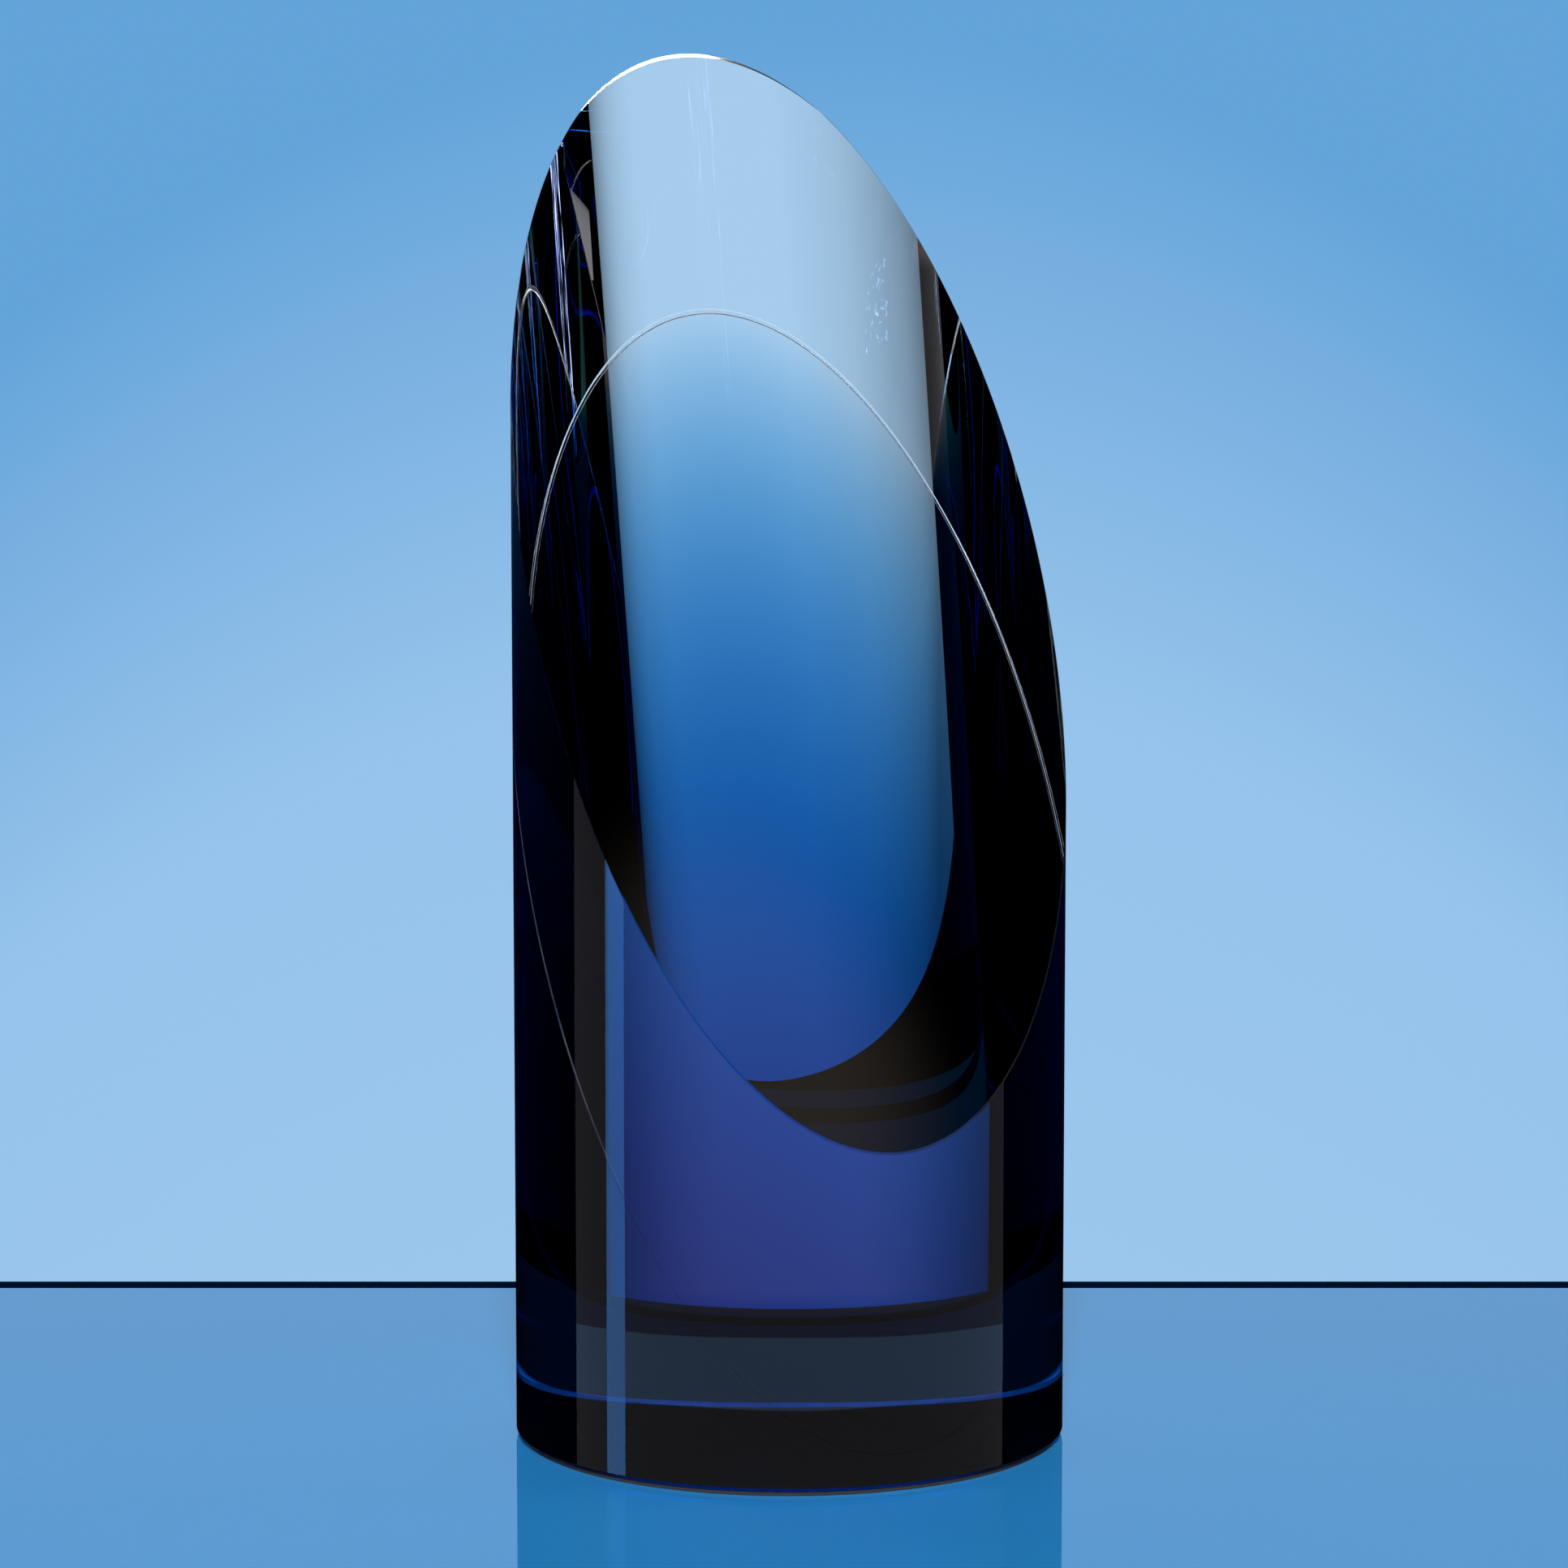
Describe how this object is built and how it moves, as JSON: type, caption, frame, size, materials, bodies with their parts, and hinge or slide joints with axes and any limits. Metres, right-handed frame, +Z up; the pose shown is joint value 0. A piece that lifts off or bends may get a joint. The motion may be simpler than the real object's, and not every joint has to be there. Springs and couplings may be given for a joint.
{
  "type": "column trophy",
  "caption": "Round crystal column trophy with a long polished slope for a top, a clear slab bonded over a sapphire blue column, and a dark foot pad.",
  "frame": {"origin": "centre of the foot pad's underside, on the column's axis, where the trophy rests", "axes": "+Z up along the column's axis, +Y away from the front towards the high back rim, +X to the right seen from the front; the slope falls towards the front and 22 degrees to the right"},
  "size_m": [0.08, 0.08, 0.2007],
  "materials": {
    "clear_crystal": "optical polish",
    "bonding_film": "clear, cured between polished faces",
    "blue_crystal": "optical polish, sapphire blue all through",
    "black_adhesive": "matt black, bonded without a gap",
    "pad": "fine matt grain"
  },
  "bodies": {
    "root": {"clear_slab": "clear_crystal", "bond_film": "bonding_film", "blue_column": "blue_crystal", "pad_adhesive": "black_adhesive", "base_pad": "pad"}
  },
  "joints": []
}
